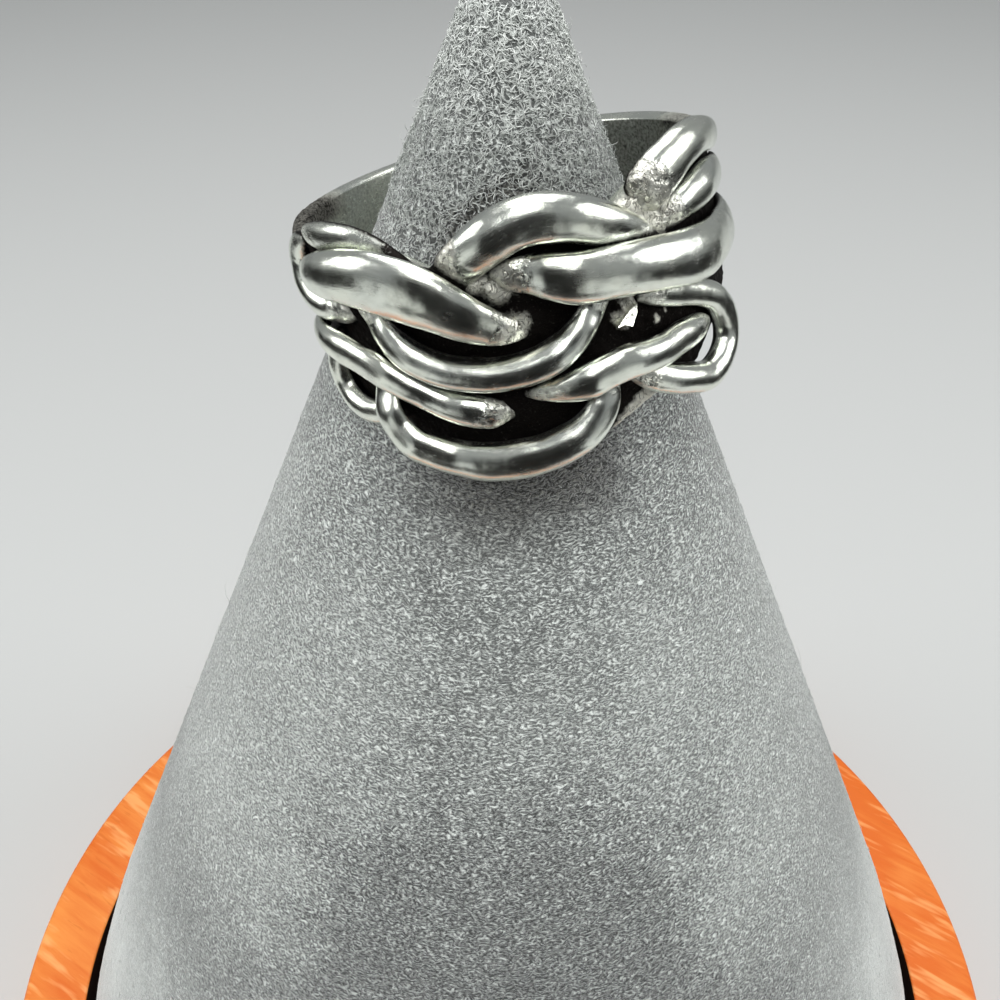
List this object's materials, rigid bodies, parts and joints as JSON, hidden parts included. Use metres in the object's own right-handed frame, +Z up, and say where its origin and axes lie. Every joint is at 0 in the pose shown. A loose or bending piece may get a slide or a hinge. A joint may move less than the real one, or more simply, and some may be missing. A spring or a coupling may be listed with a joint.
{
  "type": "braided band ring on a cone stand",
  "caption": "Wide silver ring whose open braid of rounded strands crosses the front over a plain sleeve, hung tilted on a grey suede cone with a round wooden base.",
  "frame": {"origin": "middle of the base's underside", "axes": "+Z up along the cone; -Y towards the braided front of the ring"},
  "size_m": [0.0806, 0.0806, 0.0925],
  "materials": {
    "silver_band": "polished silver inside, darker and slightly rough on the cast edges and between the strands",
    "silver_strand": "hand-polished silver with fine scratches, cast texture where a strand dips under another",
    "suede": "grey suede with a short light and dark nap",
    "wood": "oiled orange-brown wood with fine pale grain"
  },
  "bodies": {
    "root": {"shank": "silver_band", "top_loop_strand": "silver_strand", "left_side_strand": "silver_strand", "left_over_strand": "silver_strand", "cradle_strand": "silver_strand", "right_over_strand": "silver_strand", "lower_right_strand": "silver_strand", "left_middle_strand": "silver_strand", "bottom_strand": "silver_strand", "left_loop_strand": "silver_strand", "right_loop_strand": "silver_strand", "shoulder_strand_a": "silver_strand", "shoulder_strand_b": "silver_strand", "cone": "suede", "base": "wood"}
  },
  "joints": []
}
